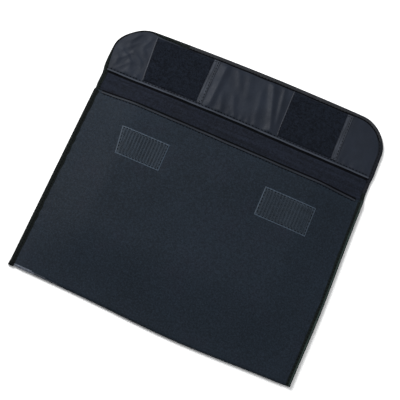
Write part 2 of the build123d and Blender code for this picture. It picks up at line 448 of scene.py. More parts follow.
def sweep(name, sections, along):
    """A closed tube through a list of equal closed sections, with capped ends."""
    rows, cols = sections.shape[:2]
    faces = list(grid_faces(rows, cols, wrap=True))
    faces.append(list(range(cols))[::-1])
    faces.append([(rows - 1) * cols + i for i in range(cols)])
    around = travelled(sections[rows // 2])
    places = np.stack(np.broadcast_arrays(np.asarray(along)[:, None], around[None, :]), -1)
    return new_object(name, sections.reshape(-1, 3), faces, places.reshape(-1, 2), sharp=50)


def tubes(name, lines, radius, sides=6):
    """Many short threads as one mesh. lines holds one array of centre points for each thread."""
    points, faces, places = [], [], []
    start = 0
    turn = np.linspace(0, 2 * np.pi, sides, endpoint=False)
    for line in lines:
        tangent = np.gradient(line, axis=0)
        tangent /= np.linalg.norm(tangent, axis=1)[:, None]
        helper = (0.0, 0.0, 1.0) if abs(tangent[0, 2]) < 0.9 else (1.0, 0.0, 0.0)
        across = np.cross(tangent, helper)
        across /= np.linalg.norm(across, axis=1)[:, None]
        over = np.cross(across, tangent)
        outwards = across[:, None] * np.cos(turn)[:, None] + over[:, None] * np.sin(turn)[:, None]
        count = len(line)
        points.append((line[:, None] + radius[:, None, None] * outwards).reshape(-1, 3))
        faces.extend(grid_faces(count, sides, start, wrap=True).tolist())
        faces.append([start + i for i in range(sides)][::-1])
        faces.append([start + (count - 1) * sides + i for i in range(sides)])
        length = np.linspace(0, 1, count) * 3 * MM
        spots = np.broadcast_arrays(length[:, None], turn[None, :] * MM)
        places.append(np.stack(spots, -1).reshape(-1, 2))
        start += count * sides
    return new_object(name, np.concatenate(points), faces, np.concatenate(places), sharp=70)


def stitches(name, line, surface, seed, thread=1.0):
    """Separate stitches along a line of flat-pattern points. surface(x, y, h) lays them down."""
    sizes = settings().sizes
    span = travelled(line)
    draw = np.random.default_rng(seed)
    count = int(span[-1] // sizes.stitch_pitch)
    spare = span[-1] - count * sizes.stitch_pitch
    thread = sizes.thread_radius * thread
    arch = np.array([-0.9, 0.35, 0.62, 0.66, 0.62, 0.35, -0.9]) * thread
    lines = []
    for i in range(count):
        middle = spare / 2 + (i + 0.5) * sizes.stitch_pitch + draw.normal(0, 0.06) * sizes.stitch_pitch
        at = middle + np.linspace(-0.5, 0.5, len(arch)) * sizes.stitch_length
        at = np.clip(at, 0, span[-1])
        x = np.interp(at, span, line[:, 0])
        y = np.interp(at, span, line[:, 1])
        lean = draw.normal(0, 0.05) * MM
        lines.append(surface(x + lean, y + lean, arch))
    return tubes(name, lines, np.array([0.55, 0.85, 1, 1, 1, 0.85, 0.55]) * thread)


# ---------------- materials


class Value:
    """A socket that can be used in sums: every operator adds its Math node."""

    def __init__(self, shader, socket):
        self.shader = shader
        self.socket = socket

    def math(self, operation, *others):
        inputs = dict(enumerate((self, *others)))
        return self.shader.node("ShaderNodeMath", {"operation": operation}, inputs)

    def __add__(self, other):
        return self.math("ADD", other)

    __radd__ = __add__

    def __mul__(self, other):
        return self.math("MULTIPLY", other)

    __rmul__ = __mul__

    def __sub__(self, other):
        return self.math("SUBTRACT", other)

    def __rsub__(self, other):
        return self.shader.node("ShaderNodeMath", {"operation": "SUBTRACT"}, {0: other, 1: self})

    def sine(self):
        return self.math("SINE")

    def clamp(self, low=0.0, high=1.0):
        return self.shader.node("ShaderNodeClamp", {}, {0: self, 1: low, 2: high})


class Shader:
    """One material, built from expressions."""

    def __init__(self, name):
        self.material = bpy.data.materials.new(name)
        self.material.use_nodes = True
        self.tree = self.material.node_tree
        self.tree.nodes.clear()
        self.output = self.tree.nodes.new("ShaderNodeOutputMaterial")
        self.surface = self.tree.nodes.new("ShaderNodeBsdfPrincipled")
        self.tree.links.new(self.surface.outputs[0], self.output.inputs["Surface"])

    def node(self, kind, given=None, inputs=None, output=0):
        """Any node: its settings first, then values or links for its sockets."""
        made = self.tree.nodes.new(kind)
        for key, value in (given or {}).items():
            setattr(made, key, value)
        for key, value in (inputs or {}).items():
            self.put(made.inputs[key], value)
        return Value(self, made.outputs[output])

    def put(self, socket, value):
        if isinstance(value, Value):
            self.tree.links.new(value.socket, socket)
        else:
            socket.default_value = value

    def set(self, **values):
        """Sockets of the surface, with words joined by underscores."""
        for key, value in values.items():
            self.put(self.surface.inputs[key.replace("_", " ")], value)

    def mix(self, factor, first, second):
        colours = {"Factor": factor, "A": first, "B": second}
        made = self.tree.nodes.new("ShaderNodeMix")
        made.data_type = "RGBA"
        for socket in made.inputs:
            if socket.name in colours and socket.enabled:
                value = colours[socket.name]
                if not isinstance(value, Value) and socket.type == "RGBA":
                    value = (*value, 1) if len(value) == 3 else value
                self.put(socket, value)
        return Value(self, next(s for s in made.outputs if s.enabled))

    def spot(self):
        """The spot on the cloth: across and along, in metres."""
        place = self.node("ShaderNodeUVMap", {"uv_map": "cloth"})
        split = self.node("ShaderNodeSeparateXYZ", {}, {0: place}).socket.node
        return Value(self, split.outputs[0]), Value(self, split.outputs[1])

    def noise(self, vector, scale, detail=3.0, roughness=0.55):
        inputs = {"Vector": vector, "Scale": scale, "Detail": detail, "Roughness": roughness}
        return self.node("ShaderNodeTexNoise", {"noise_dimensions": "3D"}, inputs)

    def between(self, amount, colour, dark, light):
        """A tone between a darker and a lighter shade of a colour."""
        return self.mix(amount.clamp(), shade(colour, dark), shade(colour, light))

    def over(self, tone, amount, share, colour):
        """A second colour over a tone, no stronger than its share."""
        return self.mix(amount.clamp() * share, tone, colour)

    def flecks(self, vector, tone, colour, scale, share):
        """Small lighter and darker spots over a tone."""
        fleck = self.noise(vector, scale, 2.0, 0.6)
        tone = self.over(tone, (fleck - 0.5) * 5.0, share, shade(colour, 1.75))
        return self.over(tone, (0.5 - fleck) * 5.0, share, shade(colour, 0.45))

    def body(self):
        """The place on the bag, in metres."""
        return self.node("ShaderNodeTexCoord", output=3)

    def finished(self, tone, roughness, gloss, height, distance, strength):
        """The material, once its surface has its colour, its roughness, its gloss and its bumps."""
        inputs = {"Strength": strength, "Distance": distance, "Height": height}
        self.set(Base_Color=tone, Roughness=roughness, Specular_IOR_Level=gloss)
        self.set(Normal=self.node("ShaderNodeBump", {}, inputs))
        return self.material


def shade(colour, factor):
    return tuple(min(1.0, channel * factor) for channel in colour)


def plain_weave(u, v, pitch):
    """Height of a plain weave: threads that pass over and under each other."""
    return (u * (math.pi / pitch)).sine() * (v * (math.pi / pitch)).sine()


def ribs(along, pitch):
    """Height of ribs across a direction."""
    return (along * (2 * math.pi / pitch)).sine()


def make_outer_cloth(name, colour, gloss):
    cloth = Shader(name)
    body = cloth.body()
    cloudy = cloth.noise(body, 9.0, 4.0)
    grain = cloth.noise(body, 420.0, 2.0)
    dust = cloth.noise(body, 60.0, 5.0, 0.7)
    drift = cloth.noise(body, 38.0, 3.0)
    weave = plain_weave(*cloth.spot(), 0.75 * MM)
    red, green, blue = colour
    plum = (red * 1.30, green * 0.96, blue * 1.05)
    cool = (red * 0.94, green * 1.06, blue * 1.10)
    tone = cloth.between(cloudy * 2.2 - 0.6, colour, 0.80, 1.24)
    tone = cloth.over(tone, (drift - 0.5) * 4.0, 0.5, plum)
    tone = cloth.over(tone, (dust - 0.5) * 2.0, 0.7, shade(cool, 1.35))
    tone = cloth.over(tone, weave * 0.5 + 0.5, 0.35, shade(colour, 0.62))
    tone = cloth.flecks(body, tone, colour, 640.0, 0.6)
    rough = (0.60 + (grain - 0.5) * 0.25 + (cloudy - 0.5) * 0.2).clamp()
    cloth.set(Sheen_Weight=0.02, Sheen_Roughness=0.5)
    return cloth.finished(tone, rough, gloss, weave * 0.6 + grain * 0.5, 0.10 * MM, 0.75)


def make_lining_cloth(name, colour, gloss):
    cloth = Shader(name)
    body = cloth.body()
    cloudy = cloth.noise(body, 30.0, 4.0)
    weave = plain_weave(*cloth.spot(), 0.6 * MM)
    # long faint creases that run across the bag, with painted highlight and painted shade along them in
    # the colour
    stretched = cloth.node("ShaderNodeVectorMath", {"operation": "MULTIPLY"}, {0: body, 1: (12, 330, 330)})
    streak = cloth.noise(stretched, 1.0, 3.0)
    tone = cloth.between(cloudy * 2.0 - 0.5, colour, 0.75, 1.3)
    tone = cloth.flecks(body, tone, colour, 620.0, 0.8)
    tone = cloth.over(tone, (streak - 0.5) * 4.0, 0.5, shade(colour, 1.9))
    tone = cloth.over(tone, (0.5 - streak) * 4.0, 0.5, shade(colour, 0.4))
    rough = (0.72 + (cloudy - 0.5) * 0.3).clamp()
    return cloth.finished(tone, rough, gloss, weave * 0.4 + streak * 2.0, 0.14 * MM, 0.7)


def make_facing_cloth(name, colour, gloss):
    cloth = Shader(name)
    body = cloth.body()
    cloudy = cloth.noise(body, 24.0, 5.0, 0.6)
    crinkle = cloth.noise(body, 130.0, 4.0, 0.65)
    weave = plain_weave(*cloth.spot(), 0.55 * MM)
    tone = cloth.between(cloudy * 2.4 - 0.7, colour, 0.72, 1.35)
    rough = (0.50 + (crinkle - 0.5) * 0.4).clamp(0.25, 0.8)
    return cloth.finished(tone, rough, gloss, crinkle * 1.6 + weave * 0.12, 0.35 * MM, 0.6)


def make_binding_tape(name, colour, gloss):
    tape = Shader(name)
    body = tape.body()
    rib = ribs(tape.spot()[0], 0.9 * MM)
    wear_and_highlight = tape.noise(body, 75.0, 5.0, 0.65)
    tone = tape.over(colour, rib * 0.5 + 0.5, 0.6, shade(colour, 2.2))
    tone = tape.over(tone, (wear_and_highlight - 0.52) * 3.0, 0.6, shade(colour, 4.0))
    rough = (0.68 + (wear_and_highlight - 0.5) * 0.3).clamp()
    return tape.finished(tone, rough, gloss, rib * 0.6 + tape.noise(body, 500.0), 0.12 * MM, 0.7)


def make_hook_tape(name, colour, roughness):
    tape = Shader(name)
    speck = tape.noise(tape.body(), 240.0, 3.0, 0.6)
    rib = ribs(tape.spot()[0], 3.3 * MM)
    tone = tape.between(speck * 2.0 - 0.5, colour, 0.7, 1.4)
    tone = tape.over(tone, rib * 0.5 + 0.5, 0.35, shade(colour, 0.55))
    rough = (roughness + (speck - 0.5) * 0.3).clamp()
    return tape.finished(tone, rough, 0.12, rib + speck, 0.12 * MM, 0.6)


def make_loop_pile(name, colour, gloss):
    pile = Shader(name)
    body = pile.body()
    tuft = pile.noise(body, 95.0, 5.0, 0.7)
    fibre = pile.noise(body, 700.0, 3.0, 0.7)
    tone = pile.between(tuft * 2.4 - 0.7, colour, 0.5, 1.6)
    tone = pile.flecks(body, tone, colour, 560.0, 0.9)
    tone = pile.flecks(body, tone, colour, 270.0, 0.6)
    tone = pile.over(tone, fibre * 3.0 - 1.3, 0.5, shade(colour, 2.3))
    pile.set(Sheen_Weight=0.02, Sheen_Roughness=0.6)
    rough = (0.85 + (fibre - 0.5) * 0.2).clamp()
    return pile.finished(tone, rough, gloss, tuft + fibre, 0.5 * MM, 0.9)


def make_selvedge(name, colour, gloss):
    edge = Shader(name)
    u, v = edge.spot()
    rib = ribs(v, 0.8 * MM)
    stretched = edge.node("ShaderNodeCombineXYZ", {}, {0: u * 1100.0, 1: v * 45.0})
    streak = edge.noise(stretched, 1.0, 3.0, 0.6)
    tone = edge.between(streak * 3.0 - 1.0, colour, 0.5, 1.7)
    rough = (0.42 + (streak - 0.5) * 0.3).clamp(0.2, 0.8)
    return edge.finished(tone, rough, gloss, rib * 0.4 + streak, 0.15 * MM, 0.6)


def make_thread(name, colour, gloss):
    thread = Shader(name)
    u, v = thread.spot()
    twist = ((u * 9000.0) + (v * 2000.0)).sine()
    tone = thread.between(twist * 0.5 + 0.5, colour, 0.6, 1.5)
    return thread.finished(tone, (0.55 + twist * 0.08).clamp(), gloss, twist, 0.05 * MM, 0.6)


def make_felt(name, colour, gloss):
    felt = Shader(name)
    fibre = felt.noise(felt.body(), 380.0, 6.0, 0.7)
    tone = felt.between(fibre * 2.0 - 0.5, colour, 0.7, 1.25)
    return felt.finished(tone, (0.9 + (fibre - 0.5) * 0.1).clamp(), gloss, fibre, 0.3 * MM, 0.8)


FINISHES = {
    # maker, cloth whose colour it takes, how much lighter, and gloss (for hook tape, roughness)
    "outer_cloth": (make_outer_cloth, "outer", 1.0, 0.06),
    # lighter copies of the outer cloth for the bottom fold's left end: painted highlight
    "rubbed_cloth": (make_outer_cloth, "hem", 1.2, 0.2),
    "worn_cloth": (make_outer_cloth, "hem", 2.6, 0.3),
    "lining_cloth": (make_lining_cloth, "lining", 1.0, 0.06),
    "facing_cloth": (make_facing_cloth, "facing", 1.0, 0.08),
    "hem_cloth": (make_facing_cloth, "hem", 1.15, 0.05),
    "mouth_cloth": (make_facing_cloth, "hem", 0.58, 0.05),
    "woven_tape": (make_binding_tape, "tape", 1.0, 0.07),
    "dark_tape": (make_binding_tape, "tape", 0.6, 0.07),
    "tape_rim": (make_binding_tape, "tape", 6.0, 0.07),
    "faded_tape": (make_binding_tape, "thread", 2.0, 0.07),
    "pale_tape": (make_binding_tape, "faded", 1.0, 0.07),
    # near-black: painted shade, for the shadow lines at the mouth, under the hem and along the flap tape's
    # inner edge
    "edge_tape": (make_binding_tape, "thread", 0.45, 0.02),
    "hook_ground": (make_hook_tape, "hooks", 0.98, 0.7),
    "hook_edge": (make_hook_tape, "hooks", 1.9, 0.55),
    "hook_nylon": (make_hook_tape, "hooks", 0.90, 0.62),
    "loop_pile": (make_loop_pile, "loops", 1.0, 0.03),
    "selvedge": (make_selvedge, "hem", 0.78, 0.07),
    "sewing_thread": (make_thread, "thread", 1.0, 0.04),
    "insulation_felt": (make_felt, "felt", 1.0, 0.1),
}


def finish_of(name):
    """The material of a finish, made when it is first asked for."""
    if name in bpy.data.materials:
        return bpy.data.materials[name]
    maker, cloth, lighter, gloss = FINISHES[name]
    return maker(name, shade(getattr(settings().colours, cloth), lighter), gloss)


def dress(piece, finish, slot, *nodes):
    """A piece's first finish, its material slot (not used), and the frame's nodes that it stands for."""
    piece.data.materials.append(finish_of(finish))
    if nodes:
        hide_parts(*nodes)
    return piece


def paint(piece, finish, chosen):
    """Another finish on the faces that are chosen."""
    piece.data.materials.append(finish_of(finish))
    index = len(piece.data.materials) - 1
    for face in piece.data.polygons:
        if chosen(face):
            face.material_index = index


def paint_strip(piece, finish, first, last, low_x=-1.0, low_y=-1.0, points=SECTION_POINTS):
    """Another finish on a swept piece between two points of its section, past low_x and low_y."""

    def chosen(face):
        columns = [v % points for v in face.vertices]
        inside = len(columns) == 4 and first <= min(columns) and max(columns) <= last
        return inside and face.center.x > low_x and face.center.y > low_y

    paint(piece, finish, chosen)


# ---------------- walls

FINE = 0.8 * MM                       # mesh step at the creases and the mouth
FOLD_ROWS = 9                         # rows of points round the bottom fold
MEASURED_COLUMN = 60                  # along this column, clear of the seams, lengths are measured
LAYERS = (
    # layer, depth of its two faces in the wall, finish, and how much coarser its mesh is
    ("outer_fabric", 0, OUTER_T, "outer_cloth", 1),
    ("insulation", OUTER_T, OUTER_T + FELT_T, "insulation_felt", 1.6),
    ("lining", OUTER_T + FELT_T, WALL, "lining_cloth", 1),
)


def bend_low(piece):
    """Bakes the piece's placement into its mesh."""
    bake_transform(piece)


def bend_high(piece):
    """Bakes the piece's placement into its mesh."""
    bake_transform(piece)


def wall_columns(step):
    """Columns over the width, closer together near the seams and beside the patches."""
    fine = [(x, 3 * MM, 1.2 * MM) for x in (-SEAM_X, SEAM_X)]
    fine += [(end.x, 3.5 * MM, 1.2 * MM) for box in hook_boxes.values() for end in box]
    return steps(-CLOTH_HALF, CLOTH_HALF, step, fine)


def mouth_dip(x, y):
    """The mouth's stitch line pulls the cloth in."""
    line = ridge(y - MOUTH_Y + MOUTH_STITCH, 0.8 * MM)
    return -settings().sizes.seam_dip * line * ramp(SEAM_X - np.abs(x), 0, 4)


def wall_surface(depth, x):
    """Points of the folded wall, depth inside its outside: front, bottom fold, back, half of the band."""
    step = settings().sizes.mesh_step
    fold_middle = FOLD_Y + FOLD_TOP / 2
    fine = [(end.y, 4 * MM, 1.3 * MM) for end in hook_boxes["left"]] + [(mouth_low.y, 4.5 * MM, FINE)]
    front_y = steps(fold_middle, MOUTH_Y, step, fine)[::-1, None]
    rear_y = steps(fold_middle, MID_BAND_Y, step, [(CREASE_A.y, 4 * MM, FINE)])[:, None]
    cols = x[None, :]
    front = on_front(cols, front_y, mouth_dip(cols, front_y) - depth)
    low = rear_height(x, np.full_like(x, fold_middle))
    radius = (front_height(x, np.full_like(x, fold_middle)) - low) / 2
    turn = np.linspace(0, np.pi, FOLD_ROWS + 2)[1:-1, None]
    fold_x, fold_y = plan(cols, np.full((FOLD_ROWS, len(x)), fold_middle))
    fold_y = fold_y - (radius - depth) * np.sin(turn)
    fold = np.stack([fold_x, fold_y, low + radius + (radius - depth) * np.cos(turn)], -1)
    surface = np.concatenate([front, fold, on_rear(cols, rear_y, depth)])
    lengths = travelled(surface[:, MEASURED_COLUMN])
    return surface, np.stack(np.broadcast_arrays(cols, lengths[:, None]), -1)


def flap_half(y, shrink):
    """Half of the flap's width at a height, with its round corners."""
    tip = TIP_Y - shrink
    radius = CORNER - shrink
    # past the crease it widens a little
    side = HALF + (FLAP_HALF - HALF) * ramp(y - CREASE_B.y, 4, 12) - shrink
    into = np.clip(y - (tip - radius), 0, radius)
    return side - radius + np.sqrt(np.maximum(radius * radius - into * into, 0))


def flap_rows(start, step, fine=()):
    """Rows up the flap to inside its tape, spaced by equal turns round its corners."""
    turn = np.linspace(0, np.pi / 2, 24)[1:]
    corner = TIP_Y - CORNER + (CORNER - TAPE_T) * np.sin(turn)
    return np.concatenate([steps(start, TIP_Y - CORNER, step, fine), corner])


def flap_grid(rows, share):
    """Points over the flap, at shares of its half width, and the flat area that they cover."""
    half = flap_half(rows, TAPE_T)
    x = half[:, None] * share
    return x, np.broadcast_to(rows[:, None], x.shape), float(np.trapz(2 * half, rows))


class SAFEBAG_OT_walls(bpy.types.Operator):
    """Lay the outer fabric, the insulation and the lining: pouch, fold band and flap"""

    bl_idname = "safe_bag.walls"
    bl_label = "Make Walls"

    def execute(self, context):
        for layer, shallow, deep, finish, coarser in LAYERS:
            x = wall_columns(coarser * settings().sizes.mesh_step)
            self.fold_pouch(layer, shallow, deep, finish, x)
            self.lay_flap(layer, shallow, deep, finish, x / CLOTH_HALF)
        return {"FINISHED"}

    def fold_pouch(self, layer, shallow, deep, finish, x):
        """One layer of the pouch and the lower half of the band."""
        outside, places = wall_surface(shallow, x)
        inside, _ = wall_surface(deep, x)
        # rows run from the mouth, so the outside faces out when the inside is the second grid
        cloth = sheet_between("pouch_" + layer + "_cloth", outside, inside, places)
        dress(cloth, finish, layer, "pouch_" + layer, "band_" + layer)
        bend_low(cloth)
        if layer == "outer_fabric":
            self.highlight_fold(cloth)

    def lay_flap(self, layer, shallow, deep, finish, share):
        """One layer of the flap and the upper half of the band."""
        step = settings().sizes.mesh_step
        x, y, area = flap_grid(flap_rows(MID_BAND_Y, step, [(CREASE_B.y, 4 * MM, FINE)]), share)
        top, under = on_rear(x, y, deep), on_rear(x, y, shallow)
        places = np.stack([x, y], -1)
        cloth = sheet_between("flap_" + layer + "_cloth", top[::-1], under[::-1], places[::-1])
        dress(cloth, finish, layer, "flap_" + layer, "band_" + layer)
        bend_high(cloth)

    def highlight_fold(self, cloth):
        """A painted highlight along the left end of the bottom fold, wider and brightest towards the
        corner.
        """

        def wear_and_highlight(low_x, high_x):
            def chosen(face):
                x, y, z = face.center
                width = 2.2 * MM * ramp(-x, 88, 55)
                at_fold = y < FOLD_Y + width and z > FOLD_TOP - 0.4 * MM - 2.0 * width
                return at_fold and low_x <= x < high_x
            return chosen

        corner_x = -122 * MM
        paint(cloth, "rubbed_cloth", wear_and_highlight(corner_x, -95 * MM))
        paint(cloth, "worn_cloth", wear_and_highlight(-2 * HALF, corner_x))


# ---------------- bindings

# how far each side tape starts past its tail's end, how much of its width shows, its finish,
# and how far its tail sticks out
SIDE_TAPES = {"left": (1.0 * MM, 1.25, "dark_tape", 0.7 * MM), "right": (2.3 * MM, 1.08, "woven_tape", 0)}


def lay_tape(name, line, inward, width, gap, puff, surface, seed, top_share=1.0):
    """A folded tape along a line in the flat pattern, with the direction inwards from it.
    top_share is how much of its width the tape reaches in over the top."""
    draw = np.random.default_rng(seed)
    span = travelled(line)
    inward = np.broadcast_to(inward, line.shape)
    gap = np.broadcast_to(gap, span.shape)
    top_share = np.broadcast_to(top_share, span.shape)
    phase = draw.uniform(0, 6, 4)
    wander = 0.22 * MM * np.sin(span * 85 + phase[0]) + 0.15 * MM * np.sin(span * 210 + phase[1])
    swell = 1 + 0.35 * np.sin(span * 120 + phase[2]) + 0.25 * np.sin(span * 330 + phase[3])
    sections = []
    for i, at in enumerate(line):
        reach = width + wander[i]
        profile = tape_profile(reach, reach * top_share[i], gap[i], puff * swell[i])
        flat = at + inward[i] * profile[:, :1]
        sections.append(surface(flat[:, 0], flat[:, 1], profile[:, 1]))
    return sweep(name, np.array(sections), span)


def side_line(side, low, high, step):
    """Line along one side of the bag, upwards on the left and downwards on the right."""
    y = steps(low, high, step)
    if side > 0:
        y = y[::-1]
    return np.stack([np.full_like(y, side * HALF), y], -1)


class SAFEBAG_OT_side_bindings(bpy.types.Operator):
    """Fold a tape over each side seam of the pouch"""

    bl_idname = "safe_bag.side_bindings"
    bl_label = "Bind Side Seams"

    def execute(self, context):
        for side, hand in SIDES:
            start, top_share, finish, tail = SIDE_TAPES[hand]
            line = side_line(side, TAIL_Y + start, SEAM_END_Y, 1.6 * MM)
            from_tail = line[:, 1] - TAIL_Y
            line[:, 0] -= tail * ridge(from_tail, 4 * MM)
            # the tail below the fold and the end above the mouth are pressed thinner
            ends = ramp(from_tail, 0, 4) * ramp(SEAM_END_Y - line[:, 1], 0, 4)
            tape = lay_tape(hand + "_side_tape", line, (-side, 0), TAPE_W, 2 * WALL * (0.55 + 0.45 * ends),
                            0.30 * MM, on_rear, settings().seed + side, top_share)
            dress(tape, finish, "binding_tape", hand + "_side_binding")
            if hand == "right":
                # a painted highlight along the right tape's outer edge
                paint_strip(tape, "tape_rim", SECTION_TOP + 1, SECTION_TOP + 3)
            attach(tape, "pouch")
        return {"FINISHED"}


def flap_edge(start_y):
    """Line round the flap from its left side over the tip to its right side, with inward normals."""
    rise = steps(start_y, TIP_Y - CORNER, 1.8 * MM)
    turn = np.linspace(0, np.pi / 2, 30)[1:-1]
    half = FLAP_HALF - CORNER
    flat_x = np.linspace(-half, half, 130)
    left = np.stack([-flap_half(rise, 0), rise], -1)
    curve = np.stack([-half - CORNER * np.cos(turn), TIP_Y - CORNER + CORNER * np.sin(turn)], -1)
    top = np.stack([flat_x, np.full_like(flat_x, TIP_Y)], -1)
    in_left = np.broadcast_to((1.0, 0.0), left.shape)
    in_curve = np.stack([np.cos(turn), -np.sin(turn)], -1)
    in_top = np.broadcast_to((0.0, -1.0), top.shape)

    def both_sides(side, corner, middle):
        return np.concatenate([side, corner, middle, corner[::-1] * (-1, 1), side[::-1] * (-1, 1)])

    return both_sides(left, curve, top), both_sides(in_left, in_curve, in_top)


def flap_tape_share(line):
    """The flap's tape was folded unevenly: much shows at the tip, little round the left corner."""
    x, up = line[:, 0], line[:, 1] - MOUTH_Y
    rising = ramp(up, 26, 30)
    centre = rising * ramp(x, -95, 20) * ramp(112 * MM - x, 0, 20)
    return 1 + 0.15 * centre - 0.66 * rising * ramp(-x, 100, 25)


class SAFEBAG_OT_flap_binding(bpy.types.Operator):
    """Fold one tape round the flap and down both edges of the fold band"""

    bl_idname = "safe_bag.flap_binding"
    bl_label = "Bind Flap"

    def execute(self, context):
        line, inward = flap_edge(MID_BAND_Y)
        gap = WALL + FACING_T * ramp(line[:, 1] - CREASE_B.y, 0, 8)
        tape = lay_tape("flap_tape", line, inward, TAPE_W, gap, 0.30 * MM, on_rear,
                        settings().seed + 5, flap_tape_share(line))
        dress(tape, "woven_tape", "binding_tape", "flap_binding", "left_band_binding",
              "right_band_binding")
        # its top is faded at the right end, and palest along the tip, where its inner edge is painted dark
        # as shade
        tip = (-78 * MM, MOUTH_Y + 0.8 * REACH)
        paint_strip(tape, "faded_tape", SECTION_FOLD, SECTION_RIM, 100 * MM)
        paint_strip(tape, "pale_tape", SECTION_FOLD, SECTION_RIM, *tip)
        paint_strip(tape, "edge_tape", SECTION_RIM - 2, SECTION_RIM, *tip)
        bend_high(tape)
        for side, hand in SIDES:
            line = side_line(side, SEAM_END_Y - 3.5 * MM, MID_BAND_Y, 0.9 * MM)
            stub = lay_tape(hand + "_band_tape", line, (-side, 0), TAPE_W - 0.2 * MM, WALL, 0.20 * MM,
                            on_rear, settings().seed + 7 + side)
            dress(stub, "woven_tape", "binding_tape", hand + "_band_binding")
            bend_low(stub)
        return {"FINISHED"}


class SAFEBAG_OT_mouth_binding(bpy.types.Operator):
    """Turn a strip of the outer fabric over the front panel's raw edge"""

    bl_idname = "safe_bag.mouth_binding"
    bl_label = "Bind Mouth"

    def execute(self, context):
        width = mouth_high.y - mouth_low.y
        rim = 0.8 * MM                # how far the strip stands past the frame's mouth
        x = steps(mouth_low.x, mouth_high.x, 1.6 * MM)
        line = np.stack([x, np.full_like(x, mouth_high.y + rim)], -1)
        strip = lay_tape("mouth_strip", line, (0, -1), width + rim, WALL, 0.22 * MM,
                         raised(on_front, -WALL), settings().seed + 11, 0.73)
        # the strip is lighter than the outer fabric: painted highlight along the fold
        dress(strip, "mouth_cloth", "outer_fabric", "mouth_binding")
        # its fold and the outer part of its top are painted near-black: painted shade of the gap above the
        # mouth
        paint_strip(strip, "edge_tape", SECTION_FOLD, SECTION_TOP + 4)
        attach(strip, "pouch")
        return {"FINISHED"}


# ---------------- facing

FACING_COLUMNS = 290                  # points over the facing's width, close enough for its creases


class SAFEBAG_OT_facing(bpy.types.Operator):
    """Lay the glossy facing on the flap, with its rolled hem"""

    bl_idname = "safe_bag.facing"
    bl_label = "Make Facing"

    def execute(self, context):
        rows = flap_rows(hem_high.y - 1.2 * MM, 1.05 * MM)
        x, y, area = flap_grid(rows, np.linspace(-1, 1, FACING_COLUMNS))
        relief = facing_relief(x, y)
        top = on_rear(x, y, ON_FACING + relief)
        under = on_rear(x, y, WALL + relief * 0.98)
        cloth = sheet_between("facing_sheet", top[::-1], under[::-1], np.stack([x, y], -1)[::-1])
        dress(cloth, "facing_cloth", "facing", "flap_facing")
        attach(cloth, "flap")
        self.roll_hem()
        return {"FINISHED"}

    def roll_hem(self):
        """The facing's lower edge is turned under into a soft roll, with a flat strip below it that is
        painted dark as shadow.
        """
        low_y, high_y = hem_low.y + 0.7 * MM, hem_high.y - 0.2 * MM
        shade_strip_y = low_y - 1.9 * MM
        height = hem_high.z - hem_low.z
        floor = WALL + 0.02 * MM
        turn = np.linspace(0, np.pi, 9)
        roll_y = (low_y + high_y) / 2 - (high_y - low_y) / 2 * np.cos(turn)
        y = np.concatenate([[shade_strip_y], roll_y, np.linspace(high_y, shade_strip_y, 4)[1:-1]])
        x = steps(hem_low.x, hem_high.x, 1.6 * MM)
        sections = []
        for at in x:
            plump = 1 + 0.14 * math.sin(at * 170) + 0.08 * math.sin(at * 410 + 1)
            h = floor + height * plump * np.sin(turn) ** 0.7
            h[0] += 0.25 * MM
            h = np.concatenate([[floor + 0.03 * MM], h, [floor, floor]])
            sections.append(on_rear(np.full_like(y, at), y, h))
        roll = sweep("facing_roll", np.array(sections)[::-1], x[::-1])
        # the roll is lighter than the facing: painted highlight on its ridge
        dress(roll, "hem_cloth", "facing", "facing_hem")
        # the flat strip and the foot of the roll are painted near-black: painted shadow under the hem
        paint_strip(roll, "edge_tape", 0, 3, points=len(y))
        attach(roll, "flap")


# ---------------- hook and loop patches

HOOK_BASE = 0.62 * MM                 # thickness of the tape that the hooks stand on
HOOK_BORDER = 3.0 * MM                # its bare border
SELVEDGE = 5.8 * MM                   # bare strip at a loop patch's right edge
LOOP_TUCK = 0.4 * MM                  # how far a loop patch reaches up under the flap's tape
# how far each patch's left edge slants, and how far a hook patch is turned
HOOK_SHAPES = {"left": (4.6 * MM, math.radians(0.3)), "right": (0.0, math.radians(-0.3))}
LOOP_SLANTS = {"left": 5.0 * MM, "right": 1.0 * MM}


def turned(x, y, low, high, turn):
    """Points of a patch, turned about its middle."""
    middle = (low + high) / 2
    x, y = x - middle.x, y - middle.y
    cosine, sine = math.cos(turn), math.sin(turn)
    return middle.x + x * cosine - y * sine, middle.y + x * sine + y * cosine


def patch_spots(low, high, step):
    """Grid over a patch's tape: how far across it and how far up it each spot is."""
    sizes = (high.x - low.x, high.y - low.y)
    return np.meshgrid(*(np.linspace(0, size, max(3, int(size / step))) for size in sizes))


def paint_where(piece, finish, measure, test):
    """Another finish on the faces of a patch whose mean measure passes a test."""
    both = np.concatenate([measure.ravel()] * 2)
    paint(piece, finish, lambda face: test(np.mean(both[list(face.vertices)])))


